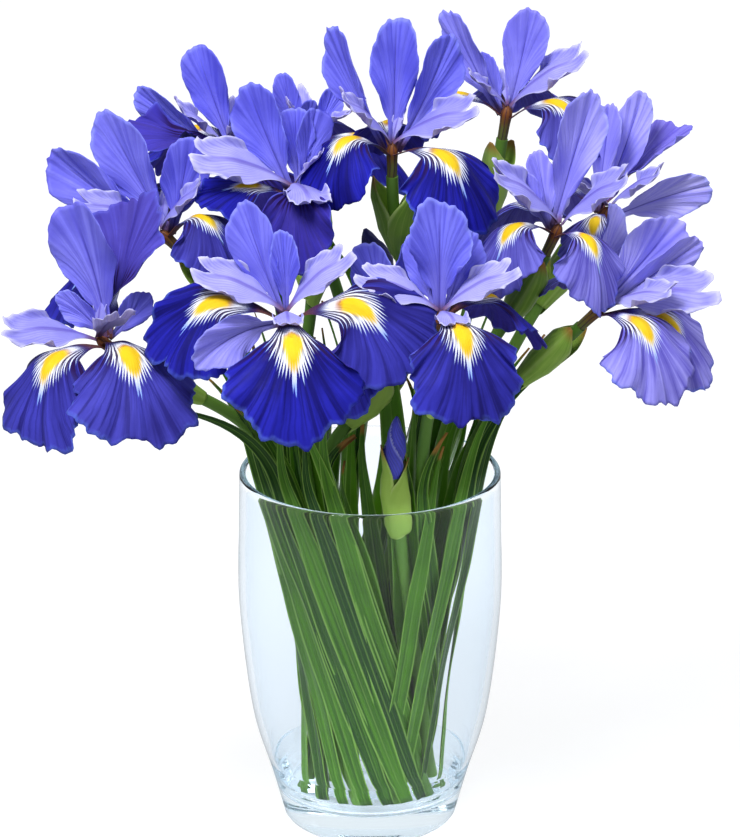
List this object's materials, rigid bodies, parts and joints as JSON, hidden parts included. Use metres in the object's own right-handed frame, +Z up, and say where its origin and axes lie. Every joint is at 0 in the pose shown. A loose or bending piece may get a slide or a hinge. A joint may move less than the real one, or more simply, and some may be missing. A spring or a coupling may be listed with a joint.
{
  "type": "irises in a vase",
  "caption": "Hand-tied bunch of blue irises, with leaves, sheaths and two buds, standing in a tapered clear glass vase with a little water.",
  "frame": {"origin": "centre of the vase's foot, on the surface it stands on", "axes": "+Z up along the vase's axis, +X to the right and -Y to the front of the bunch"},
  "size_m": [0.3271, 0.2504, 0.3854],
  "materials": {
    "glass": "clear blown glass",
    "water": "still water",
    "green": "waxy fresh leaf",
    "violet": "soft fresh petal",
    "lilac": "soft fresh petal"
  },
  "bodies": {
    "root": {"vase": "glass", "water": "water", "iris_front_left_stem": "green", "iris_front_left_petals": "violet", "iris_front_left_style": "lilac", "iris_front_right_stem": "green", "iris_front_right_petals": "violet", "iris_front_right_style": "lilac", "iris_low_left_stem": "green", "iris_low_left_petals": "violet", "iris_low_left_style": "lilac", "iris_low_right_stem": "green", "iris_low_right_petals": "violet", "iris_low_right_style": "lilac", "iris_right_middle_stem": "green", "iris_right_middle_petals": "violet", "iris_right_middle_style": "lilac", "iris_mid_left_stem": "green", "iris_mid_left_petals": "violet", "iris_mid_left_style": "lilac", "iris_left_middle_stem": "green", "iris_left_middle_petals": "violet", "iris_left_middle_style": "lilac", "iris_top_stem": "green", "iris_top_petals": "violet", "iris_top_style": "lilac", "iris_back_right_stem": "green", "iris_back_right_petals": "violet", "iris_back_right_style": "lilac", "iris_back_left_stem": "green", "iris_back_left_petals": "violet", "iris_back_left_style": "lilac", "iris_top_right_stem": "green", "iris_top_right_petals": "violet", "iris_top_right_style": "lilac", "iris_back_middle_stem": "green", "iris_back_middle_petals": "violet", "iris_back_middle_style": "lilac", "iris_inner_stem": "green", "iris_inner_petals": "violet", "iris_inner_style": "lilac", "bud_front_stem": "green", "bud_front_petals": "violet", "bud_middle_stem": "green", "bud_middle_petals": "violet"}
  },
  "joints": []
}
